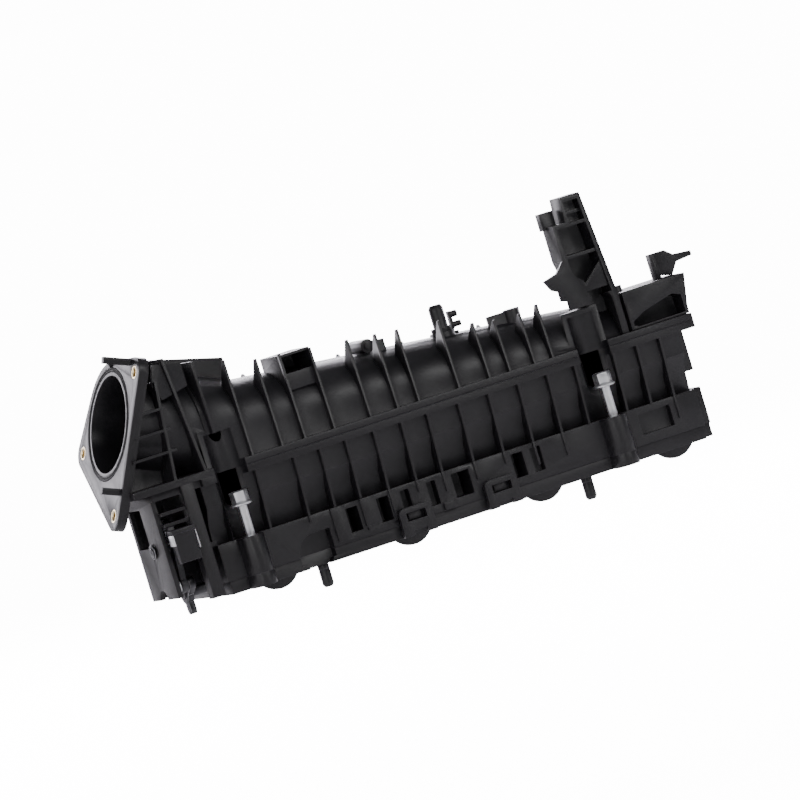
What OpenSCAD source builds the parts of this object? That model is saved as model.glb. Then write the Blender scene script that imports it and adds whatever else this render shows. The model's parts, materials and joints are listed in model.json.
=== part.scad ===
// Intake manifold for a four-cylinder engine, welded from plastic mouldings,
// with swirl flaps on one shaft in the port flange.
// X runs along the engine, throttle end at -X. The engine is below, at -Z.
// Origin: middle of the flap ports, on the sealing face.

/* [Ports] */
// Distance between neighbouring cylinders
pitch = 91; // [90:0.5:92]
// Radius of a flap port
flap_port_r = 15.6; // [15:0.1:16]
// Radius of a plain port
plain_port_r = 12.5; // [11:0.5:13]
// Distance from the flap ports to the plain ports
row_gap = 36; // [35:0.5:37]

/* [Port flange] */
// Height of the flange above the sealing face
rail_h = 31; // [30:0.5:32]
// Front face of the flange, measured from the flap ports
rail_front = 26; // [25:0.5:27]
// Rear face of the flange, measured from the flap ports
rail_back = 54; // [53:0.5:56]
// Thickness of the seal plate, up to the middle of the flap shaft
plate_h = 8; // [8:0.5:8.5]

/* [Plenum] */
// Height of the weld seam
seam_z = 72; // [71:0.5:73]
// Height of the plenum at the throttle end
top_left = 122; // [120:1:124]
// Height of the plenum at its narrow end
top_right = 103; // [100:1:104]
// Wall thickness of the mouldings
wall = 3; // [2.5:0.1:3.2]
// Thickness of a stiffening rib
rib_t = 1.5; // [1.3:0.1:2]

/* [Throttle flange] */
// Radius of the throttle bore
throttle_r = 29.5; // [28:0.5:30]
// Upward tilt of the throttle flange, in degrees
throttle_tilt = 21; // [20:0.5:22]

/* [Swirl flaps] */
// Radius of a flap disc
flap_r = 15.2; // [14.6:0.1:15.3]
// Radius of the flap shaft
shaft_r = 3; // [2.5:0.1:3.2]
// Length of the two equal crank arms
arm = 12; // [11:0.5:12]

/* [Captive bolts] */
// How far each loose bolt stands above its seat
bolt_lift = 19; // [16:0.5:20]
// Thread diameter of the bolts
bolt_d = 6; // [6:0.1:6.4]

/* [Hidden] */
$fn = 48;

black = [0.10, 0.10, 0.11];
satin = [0.20, 0.19, 0.22];
steel = [0.72, 0.73, 0.75];
zinc = [0.80, 0.81, 0.82];
brass = [0.80, 0.62, 0.28];
rubber = [0.05, 0.05, 0.05];
ports = [for (i = [0:3]) (i - 1.5) * pitch];

// Flange and shells
rail_left = -178;
rail_right = 157;
bay_left = -210.5;
seam_t = 4.4;
seam_front = -32;
seam_back = 59;
shell_left = -165;
shell_right = 157;
shell_front = -27;
shell_back = rail_back;
lobe_x = 119;
lobe_front = -14;
vent_x = 11.5;
vent_r = 2.5;
low_top = 81;
corner_r = 28;
deep = 110;
lower_front = -19;

// Seals around the ports
seal_in = 1.4;
seal_out = 3.6;

// Swirl flap drive
shaft_z = plate_h;
bush_r = 5;
bush_len = 12;
bushes = [-160, -pitch, 0, pitch];
bay_back = 20;
pivot_y = -6;
pivot_z = 38;
rest_angle = 149.3;
stop_angle = 262;
link_x = -200;
lever_x = -194;
lever_t = 4;
pin_r = 2.5;
fit = 0.04;

// Windows in the flange's front wall: from x, to x, depth; and the snap loops
front_windows = [[-93, -85, 18], [-72, -64, 16], [-56, -50, 7], [-38, -32, 7], [-21, -9, 18],
    [20, 28, 16], [33, 40, 7]];
loops = [-51.5, 7];

// Bolts and sleeves
bolt_y = -32;
bolt_xs = [-158, 90];
rear_xs = [-pitch, 0, pitch];
rear_y = 61;
boss_r = 7.6;
locating_r = 3.5;
pin_neck_r = 3;
recess_r = 10.5;
rear_recess_r = 6.8;
sleeve_r = 4.6;
sleeve_in = 3.4;
bolt_len = 45;

// Throttle flange: middle of its face, and its insert places on that face
throttle_c = [-210, 7, 118.4];
insert_at = [[40, 29], [-42, -15], [17, -56]];
flange_t = 6;
neck_len = 70;

// Ribs: of the upper shell, place along X and rise above the top; of the lower, place and foot
upper_ribs = [[-141.5, 9.5], [-121.5, 9.5], [-106, 9.5], [-86, 9.5], [-61.5, 9.5], [-43, 9.5],
    [-28.5, 9.5], [-1, 9.5], [20, 4], [34, 3], [51, 3.5], [63.5, 7]];
lower_ribs = [[-167, 32], [-142.5, 31], [-116.5, 27], [-99, 26], [-81.5, 11], [-62.5, 12],
    [-43.7, 24], [-26, 19], [-4.5, 20], [16, 24], [36.5, 17], [56.5, 17], [75.5, 31],
    [102, 31], [118.5, 31], [134.5, 17]];

// Turns a sideways outline (x, z) into a body from y0 to y1
module along_y(y0, y1) {
    translate([0, y1, 0])
        rotate([90, 0, 0])
            linear_extrude(y1 - y0)
                children();
}

// Turns a section (y, z) into a body from x0 to x1
module along_x(x0, x1) {
    translate([x0, 0, 0])
        rotate([90, 0, 90])
            linear_extrude(x1 - x0)
                children();
}

// A box between two corners
module block(low, high) {
    translate(low)
        cube(high - low);
}

// A round bar along X
module bar_x(x0, x1, y, z, r) {
    translate([x0, y, z])
        rotate([0, 90, 0])
            cylinder(h = x1 - x0, r = r);
}

// Places children on the throttle flange: X to the front, Y up the face, Z outwards
module on_throttle() {
    translate(throttle_c)
        rotate([0, throttle_tilt - 90, 0])
            rotate([0, 0, -90])
                children();
}

// Height of the plenum's top at each station along X
stations = [[shell_left, top_left + 13], [-130, top_left], [lobe_x, top_right - 5.5]];

// Section of the plenum, grown by g, with its top at 0, as (y, z)
module plenum_section(g) {
    y0 = shell_front - g;
    y1 = shell_back + g;
    r = corner_r + g;
    translate([y0, -deep])
        square([y1 - y0, deep - corner_r]);
    translate([y0 + r, -corner_r - 1])
        square([y1 - y0 - 2 * r, corner_r + 1 + g]);
    for (y = [y0 + r, y1 - r])
        translate([y, -corner_r])
            circle(r, $fn = 96);
}

// Solid plenum, grown by g, above z0
module plenum(g, z0) {
    intersection() {
        for (i = [0, 1])
            plenum_run(stations[i], stations[i + 1] - stations[i], g);
        block([shell_left - g, shell_front - deep, z0], [lobe_x + g, shell_back + deep, 2 * deep]);
    }
    block([lobe_x - 8, lobe_front - g, z0], [shell_right + g, shell_back + g, low_top + g]);
}

// Endless run of the plenum whose top passes through a station and falls as the run does
module plenum_run(station, run, g) {
    translate([station[0], 0, station[1]])
        rotate([0, -atan2(run[1], run[0]), 0])
            along_x(-deep, 3 * deep)
                plenum_section(g);
}

// Duct from the throttle flange to the plenum
module neck(r, start, length) {
    on_throttle()
        translate([0, 0, -length])
            cylinder(h = length - start, r = r);
}

// One rib of the upper shell: a thin fin up the front of the plenum, and a lower one behind
module upper_rib(x, rise) {
    top = lookup(x, stations);
    along_x(x - rib_t / 2, x + rib_t / 2) {
        polygon([[seam_front, seam_z], [seam_front + 3, top + rise], [seam_front + 4.6, top + rise],
            [seam_front + 18, top - 8], [seam_front + 18, seam_z]]);
        polygon([[seam_back - 0.5, seam_z], [seam_back - 2.5, top - 22], [seam_back - 9, top - 8],
            [seam_back - 20, top + 1.5], [seam_back - 30, top - 4], [seam_back - 30, seam_z]]);
    }
}

// Three-cornered outline of the throttle flange
module throttle_outline() {
    hull() {
        circle(38);
        for (p = insert_at)
            translate(p)
                circle(9);
    }
}

module upper_shell() {
    color(black)
    difference() {
        union() {
            plenum(0, seam_z);
            block([shell_left - 4, seam_front, seam_z], [shell_right + 2, seam_back, seam_z + seam_t]);
            translate([0, 0, seam_z])
                linear_extrude(seam_t)
                    polygon([[-222, seam_front], [-160, seam_front], [-160, 44], [-186, 44], [-218, 16]]);
            for (x = bolt_xs)
                recess_wall(x, seam_z, 27);
            neck(throttle_r + wall + 0.5, 1, neck_len);
            on_throttle()
                translate([0, 0, -flange_t])
                    linear_extrude(flange_t)
                        throttle_outline();
            for (r = upper_ribs)
                upper_rib(r[0], r[1]);
            neck_ribs();
            flange_pegs();
            top_bosses();
        }
        neck(throttle_r, -1, neck_len + 6);
        difference() {
            plenum(-wall, seam_z - 1);
            for (x = bolt_xs)
                recess_wall(x, seam_z - 2, 29);
        }
        block([shell_left - 40, shell_front + wall, seam_z - 20], [-100, shell_back - wall, seam_z]);
        on_throttle() {
            for (p = insert_at)
                translate([p[0], p[1], -flange_t - 1])
                    cylinder(h = flange_t + 2, r = 4.2);
            translate([0, 0, -2.2])
                difference() {
                    cylinder(h = 3, r = throttle_r + 5);
                    translate([0, 0, -1])
                        cylinder(h = 5, r = throttle_r + 2);
                }
        }
        for (x = bolt_xs)
            translate([x, bolt_y, seam_z - 5])
                cylinder(h = 29, r = recess_r);
        for (x = rear_xs)
            translate([x, rear_y, seam_z - 1])
                cylinder(h = 60, r = rear_recess_r);
        translate([vent_x, 0, 90])
            cylinder(h = 30, r = vent_r);
    }
}

// Half-round wall that keeps the plenum shut behind a bolt
module recess_wall(x, z, h) {
    intersection() {
        translate([x, bolt_y, z])
            cylinder(h = h, r = recess_r + wall);
        block([x - 20, shell_front + 0.5, z], [x + 20, shell_front + 20, z + h]);
    }
}

// Upright ribs and level gussets that stiffen the neck
module neck_ribs() {
    along_y(seam_front, 34)
        polygon([[-195, seam_z], [-189, 136], [-187.2, 136], [-193.2, seam_z]]);
    along_y(seam_front, 34)
        polygon([[-174, seam_z], [-181, 148], [-179.2, 148], [-172.2, seam_z]]);
    along_y(seam_front, 34)
        polygon([[-161.5, seam_z], [-163.5, 141], [-161.7, 141], [-159.7, seam_z]]);
    along_y(throttle_c[1] - 1, throttle_c[1] + 1)
        polygon([[-199, 153], [-184, 150.5], [-128, 136], [-128, 116], [-190, 118]]);
    along_y(-12, -9)
        polygon([[-222, 74], [-218, 86], [-208, 100], [-188, 100], [-188, 74]]);
    along_y(seam_front + 3, seam_front + 5)
        polygon([[-190, 134], [-186, 146], [-168, 142], [-168, 128], [-186, 124]]);
    for (g = [[-204, 119], [-211, 106], [-216, 93]])
        block([g[0], seam_front, g[1]], [-187, -28, g[1] + rib_t]);
}

// Two square pegs that stand off the face of the throttle flange
module flange_pegs() {
    on_throttle() {
        translate([29, 33.5, -1])
            cube([4, 4, 18]);
        translate([22, -44, -1])
            cube([4, 4, 12]);
    }
}

// Small bosses and webs on top of the plenum
module top_bosses() {
    translate([-42, 14, 116.6])
        rotate([90, 0, 0]) {
            cylinder(h = 24, r = 4.2);
            cylinder(h = 25.5, r = 2.4);
        }
    block([-43.5, -8, 105], [-40.5, 12, 116]);
    block([-35, -8, 105], [-30, 12, 118]);
    difference() {
        block([-106 - rib_t / 2, -26, 106], [-86 + rib_t / 2, 2, 128]);
        block([-106 + rib_t / 2, -27, 116], [-86 - rib_t / 2, 0.5, 126.4]);
    }
    translate([57, -4, 96])
        cylinder(h = 15, r = 5);
    block([40, -5, 98], [61, -3, 110.5]);
    translate([vent_x, 0, 98])
        cylinder(h = 12, r = 7.5);
    block([vent_x + 5, -1.5, 100], [vent_x + 10, 1.5, 108.5]);
}

module lower_shell() {
    color(black)
    difference() {
        union() {
            block([rail_left, seam_front, seam_z - seam_t], [shell_right + 2, seam_back, seam_z]);
            along_x(rail_left, shell_right - 8)
                lower_section(0);
            block([shell_right - 12, lower_front + 4, 42], [shell_right, shell_back, seam_z - 1]);
            for (b = lower_ribs)
                lower_rib(b[0]);
            bay();
        }
        along_x(rail_left + wall, shell_right - 12)
            lower_section(wall);
        block([shell_right - 30, lower_front + 4 + wall, 42 + wall],
            [shell_right - wall, shell_back - wall, seam_z + 1]);
        for (x = bolt_xs)
            translate([x, bolt_y, rail_h - 1])
                cylinder(h = 60, r = recess_r);
        for (x = rear_xs)
            translate([x, rear_y, rail_h - 1])
                cylinder(h = 60, r = rear_recess_r);
        bar_x(bay_left - 1, -182, pivot_y, pivot_z, pin_r + 0.02);
        block([bay_left - 1, -2, 40], [bay_left + wall + 1, 16, 64]);
        bar_x(bay_left - 1, rail_left + 1, 0, shaft_z, bush_r + 1);
    }
}

// Section of the lower shell, drawn in by g: upright at the seam, tucked in below, as (y, z)
module lower_section(g) {
    polygon([[shell_front + 0.5 + g, seam_z + g], [shell_front + 0.5 + g, 54], [lower_front - 1.5 + g, 43],
        [lower_front + g, rail_h - g], [shell_back - g, rail_h - g], [shell_back - g, seam_z + g]]);
}

// One rib of the lower shell, tapering from the seam to the flange, in front and behind
module lower_rib(x) {
    along_x(x - rib_t / 2, x + rib_t / 2) {
        polygon([[seam_front + 0.5, seam_z - 1], [-rail_front - 1.5, rail_h], [lower_front + 1, rail_h],
            [lower_front + 1, seam_z - 1]]);
        polygon([[seam_back - 0.5, seam_z - 1], [shell_back + 1.5, rail_h], [shell_back - 1, rail_h],
            [shell_back - 1, seam_z - 1]]);
    }
}

// Open bay at the throttle end that holds the flap linkage
module bay() {
    block([bay_left, -24, 8], [bay_left + wall, bay_back, seam_z]);
    block([bay_left, -28, seam_z - seam_t], [rail_left, bay_back, seam_z]);
    block([bay_left, bay_back - wall, 8], [rail_left, bay_back, seam_z]);
    block([-192, seam_front, 2], [-184, -24, seam_z]);
    block([-188, -30, 28], [-184, bay_back, seam_z]);
    block([-208, -30, 58], [-186, -24, 60]);
    block([-208, -30, 51], [-186, -24, 53]);
    block([-188, -24, rail_h], [rail_left + 1, bay_back, rail_h + wall]);
}

module port_rail() {
    color(black)
    difference() {
        union() {
            block([rail_left, -rail_front, plate_h], [rail_right - 8, rail_back, rail_h]);
            block([rail_right - 9, -rail_front + 9, plate_h], [rail_right, rail_back, rail_h]);
            for (x = bolt_xs)
                translate([x, bolt_y, plate_h])
                    cylinder(h = rail_h - plate_h, r = boss_r);
            for (x = bolt_xs)
                block([x - boss_r, bolt_y, plate_h], [x + boss_r, -rail_front + 1, rail_h]);
            for (x = rear_xs)
                translate([x, rear_y, plate_h])
                    cylinder(h = rail_h - plate_h, r = boss_r);
            for (x = rear_xs)
                block([x - boss_r, rail_back - 1, plate_h], [x + boss_r, rear_y, rail_h]);
            for (b = lower_ribs)
                if (b[1] < rail_h)
                    block([b[0] - rib_t / 2, -rail_front - 1.5, b[1]],
                        [b[0] + rib_t / 2, -rail_front + 1, rail_h]);
            front_blocks();
        }
        for (x = ports) {
            translate([x, 0, 0])
                cylinder(h = 40, r = flap_port_r);
            translate([x, row_gap, 0])
                cylinder(h = 40, r = plain_port_r);
        }
        bolt_holes(sleeve_r);
        shaft_tunnel();
        arch_cut();
        block([108, -rail_front - 1, 14], [130, -rail_front + 6, 27]);
        for (w = front_windows)
            block([w[0], -rail_front - 1, 13], [w[1], -rail_front + w[2], rail_h - 3]);
    }
}

// Raised lugs along the front of the flange; the seal plate's loops snap over two of them
module front_blocks() {
    block([-103, -rail_front - 2, 10], [-94, -rail_front + 1, rail_h]);
    block([-83, -rail_front - 2, 14], [-73, -rail_front + 1, rail_h]);
    for (x = loops)
        block([x - 4, -rail_front - 2, 10], [x + 4, -rail_front + 1, 14]);
    block([-31, -rail_front - 2, 8.5], [-23, -rail_front + 1, 13]);
    block([rail_right - 9, -rail_front + 3, 12], [rail_right - 5, -rail_front + 10, 26]);
}

// Arched opening in the front of the flange and seal plate, above a locating pin
module arch_cut() {
    along_y(-rail_front - 1, -rail_front + 8) {
        translate([-117.5, 9])
            circle(11.5);
        translate([-117.5, 3])
            square([11.5, 17.5]);
        translate([-129, 3])
            square([20, 6]);
    }
}

// Bolt holes through the flange, front and rear
module bolt_holes(r) {
    for (x = bolt_xs)
        translate([x, bolt_y, -1])
            cylinder(h = rail_h + 2, r = r);
    for (x = rear_xs)
        translate([x, rear_y, -1])
            cylinder(h = rail_h + 2, r = r);
}

// Tunnel for the flap shaft, with seats for its bushes
module shaft_tunnel() {
    bar_x(rail_left - 1, rail_right - 4, 0, shaft_z, shaft_r + 0.6);
    for (x = bushes)
        bar_x(x - bush_len / 2, x + bush_len / 2, 0, shaft_z, bush_r);
    bar_x(rail_right - 4, rail_right + 1, 0, shaft_z, bush_r);
}

module seal_plate() {
    color(black)
    difference() {
        union() {
            block([rail_left + 1, -rail_front + 1, 0], [rail_right - 9, rail_back - 1, plate_h]);
            block([rail_right - 10, -rail_front + 10, 0], [rail_right - 0.5, rail_back - 1, plate_h]);
            for (x = bolt_xs)
                translate([x, bolt_y, 0])
                    cylinder(h = plate_h, r = boss_r);
            for (x = bolt_xs)
                block([x - boss_r, bolt_y, 0], [x + boss_r, -rail_front + 2, plate_h]);
            for (x = rear_xs)
                translate([x, rear_y, 0])
                    cylinder(h = plate_h, r = boss_r);
            for (x = rear_xs)
                block([x - boss_r, rail_back - 2, 0], [x + boss_r, rear_y, plate_h]);
            snap_loops();
            for (x = loops)
                block([x - 10, -rail_front - 2.4, 1], [x + 10, -rail_front + 2, 5]);
        }
        for (x = ports) {
            translate([x, 0, -1])
                cylinder(h = 40, r = flap_port_r);
            translate([x, row_gap, -1])
                cylinder(h = 40, r = plain_port_r);
            translate([x, 0, -1])
                ring(flap_port_r + seal_out, flap_port_r + seal_in, 3);
            translate([x, row_gap, -1])
                ring(plain_port_r + seal_out, plain_port_r + seal_in, 3);
        }
        bolt_holes(sleeve_r);
        shaft_tunnel();
        for (x = [-110, 71])
            translate([x, -8, -1])
                cylinder(h = 6, r = pin_neck_r);
        for (x = [-110, 71])
            translate([x, -8, -0.5])
                cylinder(h = 1, r = locating_r);
        arch_cut();
    }
}

// A flat ring
module ring(r_out, r_in, h) {
    difference() {
        cylinder(h = h, r = r_out);
        translate([0, 0, -1])
            cylinder(h = h + 2, r = r_in);
    }
}

module flap_port_seals() {
    color(rubber)
        for (x = ports)
            translate([x, 0, -0.4])
                ring(flap_port_r + seal_out, flap_port_r + seal_in, 2.4);
}

module plain_port_seals() {
    color(rubber)
        for (x = ports)
            translate([x, row_gap, -0.4])
                ring(plain_port_r + seal_out, plain_port_r + seal_in, 2.4);
}

module throttle_seal() {
    color(rubber)
        on_throttle()
            translate([0, 0, -2.2])
                ring(throttle_r + 5, throttle_r + 2, 2.6);
}

module throttle_inserts() {
    color(brass)
        on_throttle()
            for (p = insert_at)
                translate([p[0], p[1], -flange_t])
                    ring(4.2, 2.5, flange_t);
}

module locating_pins() {
    color(black)
        for (x = [-110, 71])
            translate([x, -8, -13]) {
                cylinder(h = 12.5, r = locating_r);
                cylinder(h = 18, r = pin_neck_r);
                translate([0, 0, -1.5])
                    cylinder(h = 1.5, r1 = 2.4, r2 = locating_r);
            }
}

// Tall open-fronted bracket on the narrow end of the plenum
module tall_bracket() {
    color(black)
    difference() {
        union() {
            along_y(-30, -14)
                polygon([[98, 167.3], [111.3, 167.3], [117, 102], [117, 76.6], [100, 76.6], [88, 130],
                    [88, 152], [97, 152]]);
            block([86, -20, 150.5], [95, -14, 161]);
            along_y(-30, -27.5)
                polygon([[90, 132], [82, 124], [72.5, 121.6], [76, 115], [80, 113], [80, 107], [84, 106],
                    [84, 99], [106, 99], [104, 118]]);
            block([115, -30, 76.6], [117, -4, 100]);
        }
        along_y(-31, -16)
            polygon([[99.5, 149], [110, 149], [113.6, 104], [99, 104], [92, 122], [90.5, 149]]);
        along_y(-31, -22)
            polygon([[99.5, 164], [109, 164], [110, 151], [99.5, 151]]);
        along_y(-31, -16) {
            translate([105.5, 99])
                circle(7.2);
            translate([98.3, 75])
                square([14.4, 24]);
        }
        plenum(0.3, 60);
        translate([bolt_xs[1], bolt_y, 60])
            cylinder(h = 40, r = recess_r + wall + 0.3);
    }
    color(black) {
        block([90, -29, 130], [112, -15, 132]);
        along_y(-29, -26.5)
            polygon([[91, 121], [97, 116], [99, 113], [112, 124], [113, 108], [92, 108]]);
        block([99, -27, 156], [110, -15, 158]);
    }
}

// Open-fronted box beside the tall bracket, for the wiring
module harness_box() {
    color(black)
    difference() {
        union() {
            along_y(-30, 10)
                polygon([[lobe_x + 0.4, 81.3], [159, 81.3], [163, 101], [lobe_x + 0.4, 101]]);
            block([lobe_x + 0.4, lobe_front - 2, seam_z + seam_t + 0.3], [159, lobe_front - 0.3, 90]);
            for (x = [lobe_x + 0.4, 156.8])
                block([x, -30, seam_z + seam_t + 0.3], [x + 2.2, lobe_front - 0.3, 84]);
            block([lobe_x + 0.4, -30, seam_z + seam_t + 0.3], [159, -27.6, 79]);
            translate([124, -14, 100])
                cylinder(h = 5, r = 3);
        }
        along_y(-31, lobe_front - 2)
            polygon([[124, 78], [156.8, 78], [156.8, 89], [151, 91], [130, 86], [122, 82], [122, 80]]);
        block([131, -24, 96], [148, -19, 102]);
    }
}

// Hook that holds a cable above the box
module hook_clip() {
    color(black)
    union() {
        block([150, -16, 101], [154, -10, 117]);
        along_y(-15, -11)
            polygon([[153, 103], [153, 117], [161, 117], [166, 113], [178, 112], [178, 109], [167, 108],
                [162, 101]]);
    }
}

module vent_stub() {
    color(black)
    difference() {
        translate([vent_x, 0, 110]) {
            cylinder(h = 3, r = 6.5);
            cylinder(h = 15, r = 4.5);
            translate([0, 0, 15])
                cylinder(h = 2, r1 = 4.5, r2 = 3.4);
        }
        translate([vent_x, 0, 105])
            cylinder(h = 30, r = vent_r);
    }
    color(black) {
        block([vent_x + 6.2, -1.5, 110], [vent_x + 8.2, 1.5, 121]);
        bar_x(vent_x + 7, vent_x + 12, 0, 118.8, 2);
        bar_x(vent_x + 7, vent_x + 13, 0, 112.4, 1.8);
    }
}

// Loops of the seal plate that snap over lugs on the flange
module snap_loops() {
    for (x = loops)
        translate([x, -rail_front - 2.2, 0])
            difference() {
                along_y(-3, 0)
                    union() {
                        translate([-11, 0])
                            square([22, 14]);
                        translate([-8, 1])
                            square([16, 16.5]);
                        for (k = [-8, 8])
                            translate([k, 14])
                                circle(3);
                    }
                along_y(-4, 1)
                    translate([-6.5, 9])
                        square([13, 5.2]);
                block([-5, -4, -1], [5, 1, 3]);
            }
}

module bolt_sleeves() {
    color(zinc) {
        for (x = bolt_xs)
            translate([x, bolt_y, 0])
                ring(sleeve_r, sleeve_in, rail_h);
        for (x = rear_xs)
            translate([x, rear_y, 0])
                ring(sleeve_r, sleeve_in, rail_h);
    }
}

module bolt_retainers() {
    color(rubber)
        for (x = bolt_xs)
            translate([x, bolt_y, rail_h - 6])
                ring(sleeve_in - 0.02, bolt_d / 2 + fit, 4);
}

// A flanged hexagon bolt, held raised above its seat
module captive_bolt(x) {
    color(zinc)
        translate([x, bolt_y, rail_h + bolt_lift]) {
            translate([0, 0, -bolt_len])
                cylinder(h = bolt_len, r = bolt_d / 2);
            cylinder(h = 1.6, r = 6.8);
            translate([0, 0, 1.6])
                cylinder(h = 1.6, r1 = 6.4, r2 = 5);
            translate([0, 0, 2])
                cylinder(h = 7, r = 5.77, $fn = 6);
        }
}

module bolt_left() {
    captive_bolt(bolt_xs[0]);
}

module bolt_right() {
    captive_bolt(bolt_xs[1]);
}

module flap_shaft() {
    color(steel)
        bar_x(lever_x - lever_t - 1, rail_right - 2, 0, shaft_z, shaft_r);
}

// One disc with its hub, standing upright: the port is open
module flap(i) {
    color(black)
        translate([ports[i], 0, shaft_z])
            difference() {
                union() {
                    rotate([90, 0, 0])
                        translate([0, 0, -1.2])
                            cylinder(h = 2.4, r = flap_r);
                    bar_x(-14, 14, 0, 0, shaft_r + 1.8);
                }
                bar_x(-20, 20, 0, 0, shaft_r + 0.02);
            }
}

module flap_1() {
    flap(0);
}

module flap_2() {
    flap(1);
}

module flap_3() {
    flap(2);
}

module flap_4() {
    flap(3);
}

module shaft_bushes() {
    color(satin)
        for (x = bushes)
            difference() {
                bar_x(x - bush_len / 2, x + bush_len / 2, 0, shaft_z, bush_r - 0.02);
                bar_x(x - bush_len, x + bush_len, 0, shaft_z, shaft_r + fit);
            }
}

module shaft_end_cap() {
    color(black) {
        bar_x(rail_right - 1.8, rail_right + 1, 0, shaft_z, bush_r - 0.02);
        bar_x(rail_right + 0.1, rail_right + 2, 0, shaft_z, bush_r + 1.5);
    }
}

// A lever plate along X with a hub at one end and a pin eye at the other
module lever(length, angle, hub_r, eye_r) {
    rotate([0, 90, 0])
        rotate([0, 0, 90])
            linear_extrude(lever_t)
                rotate(angle)
                    union() {
                        circle(hub_r);
                        translate([length, 0])
                            circle(eye_r);
                        translate([0, -eye_r])
                            square([length, 2 * eye_r]);
                    }
}

module shaft_crank() {
    color(steel)
        difference() {
            translate([lever_x - lever_t, 0, shaft_z]) {
                lever(arm, rest_angle, 6.5, 4.2);
                lever(10, stop_angle, 6.5, 3);
            }
            bar_x(lever_x - 20, lever_x + 20, 0, shaft_z, shaft_r + 0.02);
            arm_end(0, shaft_z)
                bar_x(lever_x - 20, lever_x + 20, 0, 0, pin_r + 0.02);
        }
}

// Moves children to the end of a crank arm whose hub is at (y, z)
module arm_end(y, z) {
    translate([0, y + arm * cos(rest_angle), z + arm * sin(rest_angle)])
        children();
}

module crank_pin() {
    color(zinc)
        arm_end(0, shaft_z) {
            bar_x(link_x - 3, lever_x, 0, 0, pin_r);
            bar_x(link_x - 4.4, link_x - 2.9, 0, 0, pin_r + 1.6);
        }
}

module drive_link() {
    link_len = norm([pivot_y, pivot_z - shaft_z]);
    link_angle = atan2(pivot_z - shaft_z, pivot_y);
    color(satin)
        difference() {
            arm_end(0, shaft_z)
                translate([link_x - 2.6, 0, 0])
                    rotate([0, 90, 0])
                        rotate([0, 0, 90])
                            linear_extrude(lever_t)
                                rotate(link_angle)
                                    union() {
                                        circle(5);
                                        translate([link_len, 0])
                                            circle(5.2);
                                        translate([0, -3])
                                            square([link_len, 6]);
                                    }
            arm_end(0, shaft_z)
                bar_x(link_x - 20, lever_x, 0, 0, pin_r + fit);
            arm_end(pivot_y, pivot_z)
                bar_x(link_x - 20, lever_x, 0, 0, pin_r + 0.35);
        }
}

module bell_crank() {
    color(steel)
        difference() {
            translate([lever_x - lever_t + 2, pivot_y, pivot_z]) {
                translate([-2, 0, 0])
                    lever(arm, rest_angle, 6.5, 4.2);
                translate([-2, 0, 0])
                    lever(14, 60, 6.5, 4.2);
                bar_x(2, 5.9, 0, 0, 5.5);
            }
            bar_x(lever_x - 20, lever_x + 20, pivot_y, pivot_z, pin_r + fit);
            arm_end(pivot_y, pivot_z)
                bar_x(lever_x - 20, lever_x + 20, 0, 0, pin_r + 0.02);
            translate([0, pivot_y + 14 * cos(60), pivot_z + 14 * sin(60)])
                bar_x(lever_x - 20, lever_x + 20, 0, 0, 2);
        }
}

module bell_pin() {
    color(zinc)
        arm_end(pivot_y, pivot_z) {
            bar_x(link_x - 3, lever_x, 0, 0, pin_r);
            bar_x(link_x - 4.4, link_x - 2.9, 0, 0, pin_r + 1.6);
        }
}

module pivot_pin() {
    color(steel)
        bar_x(bay_left - 2, -183.5, pivot_y, pivot_z, pin_r);
}

module pivot_clips() {
    color(steel)
        for (x = [bay_left - 1.4, -189.7])
            translate([x, pivot_y, pivot_z])
                rotate([0, 90, 0])
                    ring(pin_r + 2, pin_r + 0.02, 1);
}

// Ball stud that the engine's own actuator rod snaps on
module drive_ball() {
    color(zinc)
        translate([lever_x, pivot_y + 14 * cos(60), pivot_z + 14 * sin(60)])
            rotate([0, -90, 0])
                rotate_extrude()
                    intersection() {
                        square([10, 20]);
                        union() {
                            square([1.98, 8.5]);
                            translate([0, 8.5])
                                circle(3.5);
                        }
                    }
}

module crank_cover() {
    color(black)
    difference() {
        union() {
            block([-207, -36, 28], [-193, -31, 46]);
            block([-208, -37, 46], [-192.5, -27, 48.5]);
            block([-207, -31, 44], [-203, -25, 50.8]);
        }
        block([-205, -33, 27], [-195.5, -30, 43]);
    }
}

// Bent strip of spring steel that clamps the cover
module cover_spring() {
    color(zinc) {
        block([-208.2, -37.3, 39], [-207.3, -30, 45.7]);
        block([-208.2, -30.8, 39], [-192.3, -30, 41]);
        block([-193, -37.3, 34], [-192.3, -30, 45.7]);
    }
}

upper_shell();
lower_shell();
port_rail();
seal_plate();
tall_bracket();
harness_box();
hook_clip();
vent_stub();
throttle_seal();
throttle_inserts();
flap_port_seals();
plain_port_seals();
locating_pins();
bolt_sleeves();
bolt_retainers();
bolt_left();
bolt_right();
flap_shaft();
flap_1();
flap_2();
flap_3();
flap_4();
shaft_bushes();
shaft_end_cap();
shaft_crank();
crank_pin();
drive_link();
bell_crank();
bell_pin();
pivot_pin();
pivot_clips();
drive_ball();
crank_cover();
cover_spring();
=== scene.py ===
import json
import math

import bpy
from mathutils import Matrix, Vector


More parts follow.
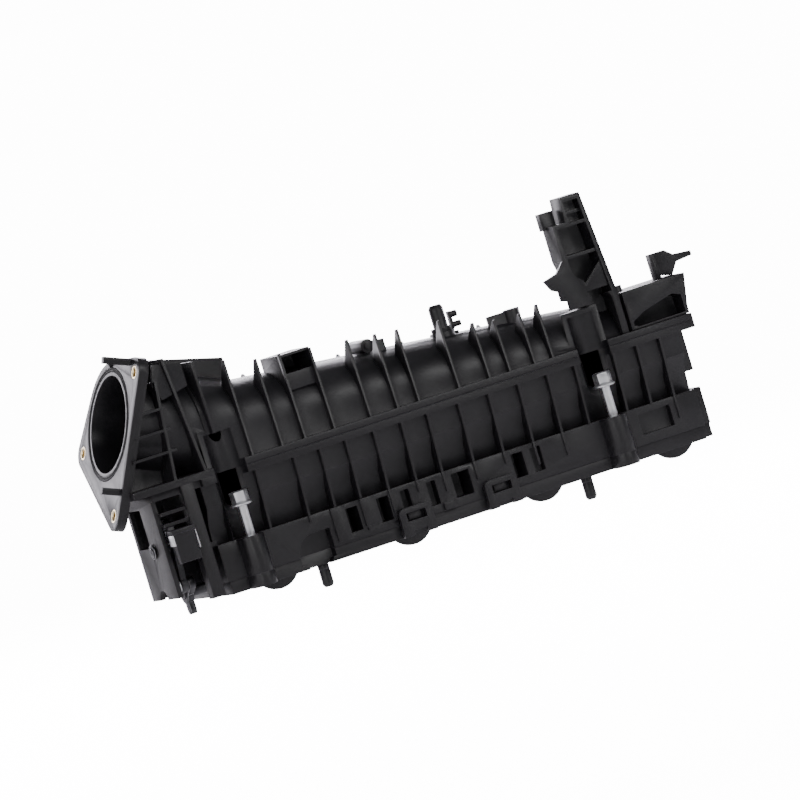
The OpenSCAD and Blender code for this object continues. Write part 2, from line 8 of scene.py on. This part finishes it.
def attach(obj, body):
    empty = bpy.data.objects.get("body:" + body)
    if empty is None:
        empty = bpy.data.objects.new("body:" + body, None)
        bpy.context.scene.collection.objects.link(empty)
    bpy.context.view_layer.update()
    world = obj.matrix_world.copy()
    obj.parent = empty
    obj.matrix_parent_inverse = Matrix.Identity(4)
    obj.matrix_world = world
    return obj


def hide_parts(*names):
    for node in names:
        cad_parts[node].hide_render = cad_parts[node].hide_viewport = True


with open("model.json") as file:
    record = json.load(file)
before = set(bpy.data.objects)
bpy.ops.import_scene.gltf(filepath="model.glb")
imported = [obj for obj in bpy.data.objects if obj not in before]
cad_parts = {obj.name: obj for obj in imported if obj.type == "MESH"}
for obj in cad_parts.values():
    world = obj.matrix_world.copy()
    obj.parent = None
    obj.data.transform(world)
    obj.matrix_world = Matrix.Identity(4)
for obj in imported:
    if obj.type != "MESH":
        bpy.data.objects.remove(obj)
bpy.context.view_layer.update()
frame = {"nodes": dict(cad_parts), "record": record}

MM = 0.001
NODES = frame["nodes"]


# ---------------------------------------------------------------- camera, floor and light

AZIMUTH = math.radians(-22.0)
ELEVATION = math.radians(3.0)
ROLL = math.radians(16.8)
AIM = Vector((-0.0226, 0.0131, 0.0780))
DISTANCE = 6.0
LENS = 445.0
SEEN_WHITE = 14.0
SKY_CAST = 0.22
FLOOR_Z = -0.16
COOL = (0.96, 0.93, 1.0)
PALE_COOL = (0.98, 0.96, 1.0)


def make_camera():
    """A long lens from the front left, a little above, leaning so that the object climbs to the right."""
    back = Vector((
        math.sin(AZIMUTH) * math.cos(ELEVATION),
        -math.cos(AZIMUTH) * math.cos(ELEVATION),
        math.sin(ELEVATION),
    ))
    cam = bpy.data.objects.new("camera", bpy.data.cameras.new("camera"))
    bpy.context.collection.objects.link(cam)
    cam.data.lens = LENS
    cam.data.clip_end = 200
    cam.location = AIM + back * DISTANCE
    level = (-back).to_track_quat("-Z", "Y").to_euler()
    cam.rotation_euler = level
    cam.rotation_euler.rotate_axis("Z", -ROLL)
    bpy.context.scene.camera = cam


def make_light(name, place, aim, size, power, colour=(1, 1, 1)):
    """A soft box that looks at a point."""
    lamp = bpy.data.lights.new(name, "AREA")
    lamp.shape = "RECTANGLE"
    lamp.size, lamp.size_y = size
    lamp.energy = power
    lamp.color = colour
    obj = bpy.data.objects.new(name, lamp)
    bpy.context.collection.objects.link(obj)
    obj.location = place
    obj.rotation_euler = (Vector(aim) - Vector(place)).to_track_quat("-Z", "Y").to_euler()
    obj.visible_camera = False


def white_to_camera(tree, target, seen, cast):
    """Feeds a colour socket one level where it is seen and another where it only lights the part."""
    path = tree.nodes.new("ShaderNodeLightPath")
    mix = tree.nodes.new("ShaderNodeMix")
    mix.data_type = "RGBA"
    mix.inputs["A"].default_value = (*cast, 1)
    mix.inputs["B"].default_value = (*seen, 1)
    tree.links.new(path.outputs["Is Camera Ray"], mix.inputs["Factor"])
    tree.links.new(mix.outputs["Result"], target)


def make_stage():
    """A plain white floor, well below the part, under a plain white sky."""
    bpy.ops.object.select_all(action="DESELECT")
    bpy.ops.mesh.primitive_circle_add(vertices=96, radius=90, fill_type="NGON", location=(0, 0, FLOOR_Z))
    floor = bpy.context.object
    floor.name = "floor"
    mat = bpy.data.materials.new("pale_floor")
    mat.use_nodes = True
    shader = mat.node_tree.nodes["Principled BSDF"]
    shader.inputs["Base Color"].default_value = (0.8, 0.8, 0.8, 1)
    shader.inputs["Roughness"].default_value = 0.9
    shader.inputs["Emission Strength"].default_value = SEEN_WHITE
    white_to_camera(mat.node_tree, shader.inputs["Emission Color"], (1, 1, 1), (0, 0, 0))
    floor.data.materials.append(mat)
    world = bpy.data.worlds.new("white_sky")
    bpy.context.scene.world = world
    world.use_nodes = True
    background = world.node_tree.nodes["Background"]
    background.inputs["Strength"].default_value = SEEN_WHITE
    level = SKY_CAST / SEEN_WHITE
    cast = (level, level * 0.98, level * 1.04)
    white_to_camera(world.node_tree, background.inputs["Color"], (1, 1, 1), cast)


make_camera()
make_stage()
make_light("rear_left", (-0.95, 2.1, 0.62), (-0.18, 0, 0.11), (0.9, 0.8), 16, COOL)
make_light("rear_high", (0.5, 2.2, 1.25), (0.02, 0, 0.1), (1.8, 0.7), 85, COOL)
make_light("left", (-2.0, -0.7, 0.5), (-0.15, 0, 0.1), (0.7, 1.1), 5, PALE_COOL)
make_light("right", (2.0, 0.6, 0.5), (0.15, 0, 0.1), (0.6, 0.9), 14, COOL)
make_light("front", (0.5, -2.2, 1.3), (0, 0, 0.06), (1.6, 0.5), 15)
make_light("strip_left", (-1.5, -1.7, 0.25), (0, 0, 0.06), (0.22, 1.8), 9)
make_light("strip_right", (1.1, -2.1, 0.2), (0, 0, 0.06), (0.16, 1.6), 5)


# ---------------------------------------------------------------- finishes

def start_group(name, inputs, outputs):
    """An empty node group with these number inputs (name, value) and these value outputs."""
    tree = bpy.data.node_groups.new(name, "ShaderNodeTree")
    for label, value in inputs:
        tree.interface.new_socket(label, in_out="INPUT", socket_type="NodeSocketFloat").default_value = value
    for label in outputs:
        tree.interface.new_socket(label, in_out="OUTPUT", socket_type="NodeSocketFloat")
    return tree, tree.nodes.new("NodeGroupInput"), tree.nodes.new("NodeGroupOutput")


def math_node(tree, operation, a, b, clamp=False):
    """A Math node whose operands are sockets or plain numbers; returns its result."""
    node = tree.nodes.new("ShaderNodeMath")
    node.operation = operation
    node.use_clamp = clamp
    for socket, value in zip(node.inputs, (a, b)):
        if isinstance(value, (int, float)):
            socket.default_value = value
        else:
            tree.links.new(value, socket)
    return node.outputs[0]


def stretched(tree, value, gain, offset, clamp=True):
    """The value times a gain, plus an offset."""
    result = math_node(tree, "MULTIPLY_ADD", value, gain, clamp)
    result.node.inputs[2].default_value = offset
    return result


def noise(tree, coords, scale, detail, roughness=0.55):
    """A noise pattern on the given coordinates, at a scale that is a number or a socket."""
    node = tree.nodes.new("ShaderNodeTexNoise")
    tree.links.new(coords, node.inputs["Vector"])
    if isinstance(scale, (int, float)):
        node.inputs["Scale"].default_value = scale
    else:
        tree.links.new(scale, node.inputs["Scale"])
    node.inputs["Detail"].default_value = detail
    node.inputs["Roughness"].default_value = roughness
    return node.outputs["Fac"]


def object_coords(tree, stretch=(1, 1, 1)):
    """Object coordinates, stretched along the axes."""
    coords = tree.nodes.new("ShaderNodeTexCoord")
    mapping = tree.nodes.new("ShaderNodeMapping")
    mapping.inputs["Scale"].default_value = stretch
    tree.links.new(coords.outputs["Object"], mapping.inputs["Vector"])
    return mapping.outputs["Vector"]


def make_moulded_texture():
    """Spark-eroded mould grain as a height, and broad flow marks as a mottle."""
    tree, inp, out = start_group("moulded_texture", [("Grain", 1500), ("Flow", 26)], ["Height", "Mottle"])
    coords = object_coords(tree)
    cells = tree.nodes.new("ShaderNodeTexVoronoi")
    tree.links.new(coords, cells.inputs["Vector"])
    tree.links.new(inp.outputs["Grain"], cells.inputs["Scale"])
    fine = noise(tree, coords, inp.outputs["Grain"], 3, 0.7)
    height = math_node(tree, "ADD", math_node(tree, "MULTIPLY", cells.outputs["Distance"], 0.5), fine)
    flow = noise(tree, object_coords(tree, (0.45, 1, 1)), inp.outputs["Flow"], 4, 0.6)
    mottle = stretched(tree, flow, 2.6, -0.8)
    tree.links.new(height, out.inputs["Height"])
    tree.links.new(mottle, out.inputs["Mottle"])
    return tree


def make_rubbed_and_highlit_edges():
    """Where rounded edges are lightened, partly as rubbed wear and partly as a painted edge highlight,
    broken up by noise.
    """
    tree, inp, out = start_group("rubbed_and_highlit_edges", [("Amount", 1), ("Break Up", 180)], ["Mask"])
    edge = tree.nodes.new("ShaderNodeAttribute")
    edge.attribute_name = "edge"
    patchy = noise(tree, object_coords(tree), inp.outputs["Break Up"], 3)
    patchy = stretched(tree, patchy, 2.4, -0.6)
    mask = math_node(tree, "MULTIPLY", edge.outputs["Fac"], patchy)
    mask = math_node(tree, "MULTIPLY", mask, inp.outputs["Amount"], True)
    tree.links.new(mask, out.inputs["Mask"])
    return tree


def make_settled_dust():
    """Fine dust on surfaces that face up."""
    tree, inp, out = start_group("settled_dust", [("Amount", 0.3), ("Scale", 90)], ["Mask"])
    geometry = tree.nodes.new("ShaderNodeNewGeometry")
    split = tree.nodes.new("ShaderNodeSeparateXYZ")
    tree.links.new(geometry.outputs["Normal"], split.inputs["Vector"])
    up = math_node(tree, "POWER", math_node(tree, "MAXIMUM", split.outputs["Z"], 0.0), 3.0)
    specks = noise(tree, object_coords(tree), inp.outputs["Scale"], 6, 0.7)
    specks = stretched(tree, specks, 2.0, -0.5)
    mask = math_node(tree, "MULTIPLY", math_node(tree, "MULTIPLY", up, specks), inp.outputs["Amount"], True)
    tree.links.new(mask, out.inputs["Mask"])
    return tree


def make_metal_grain():
    """Fine drawn lines along X and the cloudiness of a plated surface."""
    tree, inp, out = start_group("metal_grain", [("Lines", 900), ("Clouds", 220)], ["Height", "Mottle"])
    lines = noise(tree, object_coords(tree, (0.12, 1, 1)), inp.outputs["Lines"], 4, 0.6)
    clouds = noise(tree, object_coords(tree), inp.outputs["Clouds"], 4)
    mottle = stretched(tree, clouds, 2.2, -0.6)
    tree.links.new(lines, out.inputs["Height"])
    tree.links.new(mottle, out.inputs["Mottle"])
    return tree


EFFECTS = {
    "moulded": make_moulded_texture(),
    "metal": make_metal_grain(),
    "edges": make_rubbed_and_highlit_edges(),
    "dust": make_settled_dust(),
}


def place(tree, effect, **values):
    """Puts an effect in a material with its own values."""
    node = tree.nodes.new("ShaderNodeGroup")
    node.node_tree = EFFECTS[effect]
    for label, value in values.items():
        node.inputs[label.replace("_", " ")].default_value = value
    return node


def blend(tree, mask, under, over):
    """Mixes two colours, each a socket or three numbers, by a mask."""
    mix = tree.nodes.new("ShaderNodeMix")
    mix.data_type = "RGBA"
    tree.links.new(mask, mix.inputs["Factor"])
    for socket, colour in (("A", under), ("B", over)):
        if isinstance(colour, tuple):
            mix.inputs[socket].default_value = (*colour, 1)
        else:
            tree.links.new(colour, mix.inputs[socket])
    return mix.outputs["Result"]


DUST_TONE = (0.16, 0.15, 0.16)
BUMP_DISTANCE = 0.00012
BLACK = (0.0065, 0.006, 0.0072)
BLACK_PALE = (0.013, 0.012, 0.0145)


def make_finish(name, base, second, rough, grain, depth, wear_and_highlight_tone, wear_and_highlight_amount, dust=0.0, metallic=0.0):
    """A finish: two base tones, grain bump, edges lightened towards the edge tone as rubbed wear and a
    painted edge highlight, and dust on top.
    """
    mat = bpy.data.materials.new(name)
    mat.use_nodes = True
    tree = mat.node_tree
    shader = tree.nodes["Principled BSDF"]
    shader.inputs["Metallic"].default_value = metallic
    if metallic:
        texture = place(tree, "metal", Lines=grain)
    else:
        texture = place(tree, "moulded", Grain=grain)
    edges = place(tree, "edges", Amount=wear_and_highlight_amount)
    colour = blend(tree, texture.outputs["Mottle"], base, second)
    # Rounded edges lightened: partly rubbed wear, partly a painted edge highlight.
    colour = blend(tree, edges.outputs["Mask"], colour, wear_and_highlight_tone)
    roughness = stretched(tree, texture.outputs["Mottle"], rough[1] - rough[0], rough[0], clamp=False)
    if dust:
        dusty = place(tree, "dust", Amount=dust)
        colour = blend(tree, dusty.outputs["Mask"], colour, DUST_TONE)
        dulled = math_node(tree, "MULTIPLY", dusty.outputs["Mask"], 0.5)
        roughness = math_node(tree, "ADD", roughness, dulled, True)
    bump = tree.nodes.new("ShaderNodeBump")
    bump.inputs["Strength"].default_value = depth
    bump.inputs["Distance"].default_value = BUMP_DISTANCE
    tree.links.new(texture.outputs["Height"], bump.inputs["Height"])
    tree.links.new(bump.outputs["Normal"], shader.inputs["Normal"])
    tree.links.new(colour, shader.inputs["Base Color"])
    tree.links.new(roughness, shader.inputs["Roughness"])
    return mat


MATS = {
    # The plastic's paler violet-grey edge tone is partly rubbed wear and partly a painted edge highlight.
    "moulded_plastic": make_finish(
        "moulded_plastic", BLACK, BLACK_PALE, (0.32, 0.45), 1500, 0.35, (0.06, 0.056, 0.068), 0.7, 0.10),
    "seal_rubber": make_finish(
        "seal_rubber", (0.008, 0.008, 0.008), (0.016, 0.016, 0.016), (0.6, 0.8), 900, 0.5,
        (0.03, 0.03, 0.03), 0.5),
    "insert_brass": make_finish(
        "insert_brass", (0.84, 0.68, 0.4), (0.93, 0.8, 0.55), (0.25, 0.4), 700, 0.3,
        (0.98, 0.9, 0.7), 0.6, metallic=1.0),
    "zinc_plate": make_finish(
        "zinc_plate", (0.84, 0.86, 0.88), (0.95, 0.95, 0.95), (0.3, 0.46), 800, 0.25,
        (0.97, 0.97, 0.97), 0.6, metallic=1.0),
    "dark_steel": make_finish(
        "dark_steel", (0.05, 0.05, 0.054), (0.1, 0.1, 0.105), (0.34, 0.5), 1000, 0.35,
        (0.4, 0.4, 0.41), 0.8, metallic=1.0),
    "natural_nylon": make_finish(
        "natural_nylon", (0.04, 0.04, 0.045), (0.07, 0.07, 0.075), (0.4, 0.55), 1200, 0.3,
        (0.14, 0.14, 0.15), 0.5),
}

SLOTS = {s["node"]: s["material_slot"] for s in frame["record"]["subparts"]}
BODY_OF = {n: b for b, ns in frame["record"]["behaviour"]["bodies"].items() for n in ns}


# ---------------------------------------------------------------- making pieces

SMOOTH_ANGLE = 35
CAD_MERGE = 2e-6
PIECE_MERGE = 1e-6
FLAT_ANGLE = 0.5


def only(obj):
    """Makes this the one selected, active object."""
    bpy.ops.object.select_all(action="DESELECT")
    obj.select_set(True)
    bpy.context.view_layer.objects.active = obj


def mark_edges(obj):
    """Notes which faces are rounded edges, so that the finish can lighten them with rubbed wear and a
    painted edge highlight.
    """
    edge = obj.data.attributes.new("edge", "FLOAT", "FACE")
    for face in obj.data.polygons:
        edge.data[face.index].value = float(face.material_index == 1)
        face.material_index = 0


def round_edges(obj, width, angle, segments, slot):
    """Rounds the edges sharper than an angle, by a width in mm, shades smoothly and puts on the finish."""
    obj.data.materials.clear()
    for _ in range(2):
        obj.data.materials.append(MATS[slot])
    bevel = obj.modifiers.new("edge", "BEVEL")
    bevel.width = width * MM
    bevel.segments = segments
    bevel.limit_method = "ANGLE"
    bevel.angle_limit = math.radians(angle)
    bevel.material = 1
    only(obj)
    bpy.ops.object.modifier_apply(modifier="edge")
    bpy.ops.object.shade_smooth_by_angle(angle=math.radians(SMOOTH_ANGLE))
    mark_edges(obj)
    obj.data.materials.clear()
    obj.data.materials.append(MATS[slot])


def hand_over(obj, node):
    """Lets a finished piece stand for its CAD node."""
    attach(obj, BODY_OF[node])
    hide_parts(node)
    return obj


def soften(node, width, angle=28, segments=2):
    """A copy of a CAD node, merged, with every sharp edge rounded as a moulding's edges are."""
    source = NODES[node]
    obj = source.copy()
    obj.data = source.data.copy()
    obj.parent = None
    obj.name = node + "_finished"
    bpy.context.collection.objects.link(obj)
    only(obj)
    bpy.ops.object.mode_set(mode="EDIT")
    bpy.ops.mesh.select_all(action="SELECT")
    bpy.ops.mesh.remove_doubles(threshold=CAD_MERGE)
    bpy.ops.mesh.dissolve_limited(angle_limit=math.radians(FLAT_ANGLE))
    bpy.ops.object.mode_set(mode="OBJECT")
    round_edges(obj, width, angle, segments, SLOTS[node])
    return hand_over(obj, node)


def turned(name, profile, ring=False, sides=64):
    """A turned piece about Z. The profile is (radius, height) in mm; a ring's last point joins its first."""
    bpy.ops.object.select_all(action="DESELECT")
    radius, height = profile[0]
    bpy.ops.mesh.primitive_circle_add(
        vertices=sides, radius=radius * MM, fill_type="NOTHING", location=(0, 0, height * MM))
    obj = bpy.context.object
    obj.name = name
    bpy.ops.object.transform_apply(location=True, rotation=True, scale=True)
    bpy.ops.object.mode_set(mode="EDIT")
    bpy.ops.mesh.select_all(action="SELECT")
    steps = profile[1:] + ([profile[0]] if ring else [])
    for new_radius, new_height in steps:
        bpy.ops.mesh.extrude_region_move(
            TRANSFORM_OT_translate={"value": (0, 0, (new_height - height) * MM)})
        ratio = new_radius / radius
        bpy.ops.transform.resize(value=(ratio, ratio, 1), center_override=(0, 0, new_height * MM))
        radius, height = new_radius, new_height
    bpy.ops.mesh.select_all(action="SELECT")
    bpy.ops.mesh.remove_doubles(threshold=PIECE_MERGE)
    if not ring:
        bpy.ops.mesh.fill_holes(sides=0)
    bpy.ops.mesh.select_all(action="SELECT")
    bpy.ops.mesh.normals_make_consistent(inside=False)
    bpy.ops.object.mode_set(mode="OBJECT")
    return obj


def set_down(obj, matrix):
    """Moves a piece by a matrix and settles it, so that its origin stays at the frame's."""
    obj.matrix_world = matrix
    only(obj)
    bpy.ops.object.transform_apply(location=True, rotation=True, scale=True)
    return obj


def at(x, y, z):
    """A move, in mm."""
    return Matrix.Translation((x * MM, y * MM, z * MM))


def copies(obj, matrices):
    """The piece at each of these places, each with its own mesh, joined as one piece."""
    placed = []
    for matrix in matrices:
        one = obj.copy()
        one.data = obj.data.copy()
        bpy.context.collection.objects.link(one)
        placed.append(set_down(one, matrix))
    bpy.data.objects.remove(obj)
    return joined(placed)


def joined(pieces):
    """Joins several pieces as the first of them."""
    bpy.ops.object.select_all(action="DESELECT")
    for piece in pieces:
        piece.select_set(True)
    bpy.context.view_layer.objects.active = pieces[0]
    if len(pieces) > 1:
        bpy.ops.object.join()
    return bpy.context.object


def select_faces(obj, keep):
    """Selects the faces for which keep(face) holds, in edit mode."""
    bpy.ops.mesh.select_all(action="DESELECT")
    bpy.ops.object.mode_set(mode="OBJECT")
    for face in obj.data.polygons:
        face.select = keep(face)
    bpy.ops.object.mode_set(mode="EDIT")


# ---------------------------------------------------------------- captive bolts

BOLT_Y = -32
BOLTS = {"bolt_left": -158, "bolt_right": 90}
SHANK_END, THREAD_TOP, UNDER_HEAD, HEX_TOP = 5.0, 27.0, 50.0, 59.0
THREAD_PITCH = 1.0
THREAD_RADIUS = 3.0
THREAD_DEPTH = 0.45
HEX_RADIUS = 5.77
HEX_HEIGHT = 6.4
BOLT_TURN = 12


def make_thread(radius, low, high):
    """A coil with a three-cornered section, for a screw thread."""
    bpy.ops.object.select_all(action="DESELECT")
    bpy.ops.mesh.primitive_circle_add(vertices=3, radius=THREAD_DEPTH * MM, fill_type="NOTHING")
    coil = bpy.context.object
    coil.name = "thread"
    turn = Matrix.Rotation(math.radians(90), 4, "X") @ Matrix.Rotation(math.radians(-90), 4, "Z")
    set_down(coil, at(radius - THREAD_DEPTH, 0, low) @ turn)
    screw = coil.modifiers.new("coil", "SCREW")
    screw.axis = "Z"
    screw.steps = screw.render_steps = 32
    screw.screw_offset = THREAD_PITCH * MM
    screw.iterations = int((high - low) / THREAD_PITCH)
    only(coil)
    bpy.ops.object.modifier_apply(modifier="coil")
    bpy.ops.object.mode_set(mode="EDIT")
    bpy.ops.mesh.select_all(action="SELECT")
    bpy.ops.mesh.fill_holes(sides=3)
    bpy.ops.mesh.select_all(action="SELECT")
    bpy.ops.mesh.normals_make_consistent(inside=False)
    bpy.ops.object.mode_set(mode="OBJECT")
    return coil


def make_hexagon():
    """The hexagon of a bolt's head, with a chamfered rim and a shallow dish on top."""
    bpy.ops.object.select_all(action="DESELECT")
    bpy.ops.mesh.primitive_cylinder_add(
        vertices=6, radius=HEX_RADIUS * MM, depth=HEX_HEIGHT * MM, location=(0, 0, (HEX_TOP - 3.7) * MM))
    head = bpy.context.object
    head.name = "hexagon"
    bpy.ops.object.transform_apply(location=True, rotation=True, scale=True)
    bpy.ops.object.mode_set(mode="EDIT")
    select_faces(head, lambda face: face.normal.z > 0.9)
    bpy.ops.mesh.inset(thickness=0.75 * MM, depth=0.5 * MM)
    bpy.ops.mesh.inset(thickness=1.1 * MM, depth=0)
    bpy.ops.mesh.inset(thickness=0.7 * MM, depth=-0.6 * MM)
    bpy.ops.object.mode_set(mode="OBJECT")
    return head


for node, bolt_x in BOLTS.items():
    shank = turned("shank", [
        (1.9, SHANK_END), (2.55, SHANK_END + 0.8), (2.55, THREAD_TOP), (2.95, THREAD_TOP + 0.8),
        (2.95, UNDER_HEAD - 0.9), (3.4, UNDER_HEAD - 0.1), (6.1, UNDER_HEAD), (6.8, UNDER_HEAD + 0.35),
        (6.8, UNDER_HEAD + 1.1), (6.3, UNDER_HEAD + 1.7), (5.3, UNDER_HEAD + 2.6), (4.6, UNDER_HEAD + 3.2),
    ])
    coil = make_thread(THREAD_RADIUS, SHANK_END + 1, THREAD_TOP)
    bolt = joined([shank, make_hexagon(), coil])
    bolt.name = node + "_made"
    set_down(bolt, at(bolt_x, BOLT_Y, 0) @ Matrix.Rotation(math.radians(BOLT_TURN), 4, "Z"))
    round_edges(bolt, 0.22, 40, 2, SLOTS[node])
    hand_over(bolt, node)


# ---------------------------------------------------------------- throttle flange fittings

FLANGE_TILT = 21
FLANGE = (at(-210, 7, 118.4) @ Matrix.Rotation(math.radians(FLANGE_TILT - 90), 4, "Y")
          @ Matrix.Rotation(math.radians(-90), 4, "Z"))
INSERT_PLACES = [(40, 29), (-42, -15), (17, -56)]

insert = turned("insert", [
    (4.2, -6), (4.2, -4.6), (3.9, -4.2), (3.9, -3.6), (4.2, -3.2), (4.2, -0.2), (4.0, 0), (3.2, 0),
    (2.9, -0.4), (2.6, -0.7), (2.6, -6),
], ring=True)
inserts = copies(insert, [FLANGE @ at(a, b, 0) for a, b in INSERT_PLACES])
inserts.name = "throttle_inserts_made"
round_edges(inserts, 0.12, 30, 2, SLOTS["throttle_inserts"])
hand_over(inserts, "throttle_inserts")

lip_seal = turned("throttle_seal_made", [
    (31.5, -2.2), (31.5, -0.5), (31.9, 0.1), (32.3, 0.35), (32.7, 0.1), (33.0, -0.1), (33.3, 0.1),
    (33.7, 0.35), (34.1, 0.1), (34.5, -0.5), (34.5, -2.2),
], ring=True, sides=128)
set_down(lip_seal, FLANGE)
round_edges(lip_seal, 0.15, 30, 2, SLOTS["throttle_seal"])
hand_over(lip_seal, "throttle_seal")


# ---------------------------------------------------------------- port seals and locating pins

PITCH = 91
PORTS = [(i - 1.5) * PITCH for i in range(4)]
FLAP_PORT_RADIUS, FLAP_PORT_Y = 15.6, 0
PLAIN_PORT_RADIUS, PLAIN_PORT_Y = 12.5, 36
SEAL_LOW, SEAL_HIGH = -0.4, 2.0
PIN_Y, PIN_PLACES = -8, (-110, 71)


def port_seal(node, port_radius, port_y):
    """Two-lipped ring seals, one at each port of a row."""
    inner, outer = port_radius + 1.4, port_radius + 3.6
    width = outer - inner
    ring = turned(node + "_ring", [
        (inner, SEAL_HIGH), (inner, SEAL_LOW + 0.5), (inner + 0.2 * width, SEAL_LOW),
        (inner + 0.4 * width, 0), (inner + 0.6 * width, 0), (inner + 0.8 * width, SEAL_LOW),
        (outer, SEAL_LOW + 0.5), (outer, SEAL_HIGH),
    ], ring=True, sides=96)
    seals = copies(ring, [at(x, port_y, 0) for x in PORTS])
    seals.name = node + "_made"
    round_edges(seals, 0.15, 30, 2, SLOTS[node])
    hand_over(seals, node)


port_seal("flap_port_seals", FLAP_PORT_RADIUS, FLAP_PORT_Y)
port_seal("plain_port_seals", PLAIN_PORT_RADIUS, PLAIN_PORT_Y)

pin = turned("pin", [
    (2.0, -14.5), (2.5, -14.3), (3.5, -12.6), (3.5, -4.4), (3.3, -4.1), (3.3, -3.6), (3.5, -3.3),
    (3.5, -0.7), (3.2, -0.5), (3.0, -0.3), (3.0, 5.0),
])
pins = copies(pin, [at(x, PIN_Y, 0) for x in PIN_PLACES])
pins.name = "locating_pins_made"
round_edges(pins, 0.15, 25, 2, SLOTS["locating_pins"])
hand_over(pins, "locating_pins")


# ---------------------------------------------------------------- the linkage's ball stud

BALL_RADIUS, BALL_REACH = 3.5, 8.5
NECK_RADIUS = 2.0
BALL_STEPS, BALL_TOP_ANGLE = 12, 82
LEVER_X, LEVER_Y, LEVER_Z = -194, -6, 38
LEVER_LENGTH, LEVER_ANGLE = 14, math.radians(60)
neck_angle = math.degrees(math.acos(NECK_RADIUS / BALL_RADIUS))
ball_profile = [(NECK_RADIUS, 0.0), (NECK_RADIUS, 2.2), (2.6, 2.5), (2.6, 3.3), (NECK_RADIUS, 3.6)]
for k in range(BALL_STEPS + 1):
    turn = math.radians(-neck_angle + k * (neck_angle + BALL_TOP_ANGLE) / BALL_STEPS)
    ball_profile.append((BALL_RADIUS * math.cos(turn), BALL_REACH + BALL_RADIUS * math.sin(turn)))
ball = turned("drive_ball_made", ball_profile, sides=40)
stud_y = LEVER_Y + LEVER_LENGTH * math.cos(LEVER_ANGLE)
stud_z = LEVER_Z + LEVER_LENGTH * math.sin(LEVER_ANGLE)
set_down(ball, at(LEVER_X, stud_y, stud_z) @ Matrix.Rotation(math.radians(-90), 4, "Y"))
round_edges(ball, 0.12, 40, 2, SLOTS["drive_ball"])
hand_over(ball, "drive_ball")


# ---------------------------------------------------------------- flash squeezed out of the weld seam

SEAM_Z = 72.0
FLASH_STEP = 3.0
FLASH_WIDTH, FLASH_THICK = 1.0, 0.5
FRONT_Y, REAR_Y = -32.0, 59.0
FRONT_STRETCHES = ((-146.5, 78.5), (101.5, 158.0))
REAR_STRETCHES = ((-158.0, -99.0), (-83.0, -8.0), (8.0, 83.0), (99.0, 158.0))


def make_flash(x0, x1, y, outward):
    """A thin uneven lip of plastic that the weld pressed out between the two seam flanges."""
    parts = int((x1 - x0) / FLASH_STEP)
    bpy.ops.object.select_all(action="DESELECT")
    bpy.ops.mesh.primitive_cube_add(size=1, location=((x0 + x1) / 2 * MM, y * MM, SEAM_Z * MM))
    lip = bpy.context.object
    bpy.ops.transform.resize(value=((x1 - x0) * MM, FLASH_WIDTH * MM, FLASH_THICK * MM))
    bpy.ops.object.transform_apply(location=True, rotation=True, scale=True)
    bpy.ops.object.mode_set(mode="EDIT")
    for k in range(1, parts):
        bpy.ops.mesh.select_all(action="SELECT")
        cut_x = (x0 + (x1 - x0) * k / parts) * MM
        bpy.ops.mesh.bisect(plane_co=(cut_x, 0, 0), plane_no=(1, 0, 0))
    bpy.ops.object.mode_set(mode="OBJECT")
    for vertex in lip.data.vertices:
        if (vertex.co.y - y * MM) * outward > 0:
            swell = math.sin(vertex.co.x * 410) * math.sin(vertex.co.x * 173 + 1.0)
            vertex.co.y += outward * (0.05 + 0.12 * swell) * MM
            vertex.co.z += (SEAM_Z * MM - vertex.co.z) * 0.5
    return lip


flash = joined(
    [make_flash(x0, x1, FRONT_Y, -1) for x0, x1 in FRONT_STRETCHES]
    + [make_flash(x0, x1, REAR_Y, 1) for x0, x1 in REAR_STRETCHES])
flash.name = "weld_flash"
round_edges(flash, 0.08, 40, 1, "moulded_plastic")
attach(flash, "manifold")


# ---------------------------------------------------------------- the rest of the assembly

CAD_ROUNDING = 0.35
MADE = set(BOLTS) | {
    "throttle_inserts", "throttle_seal", "flap_port_seals", "plain_port_seals", "locating_pins",
    "drive_ball",
}

for name, obj in NODES.items():
    for slot in obj.material_slots:
        slot.material = MATS[SLOTS[name]]
for name in NODES:
    if name not in MADE:
        soften(name, CAD_ROUNDING)
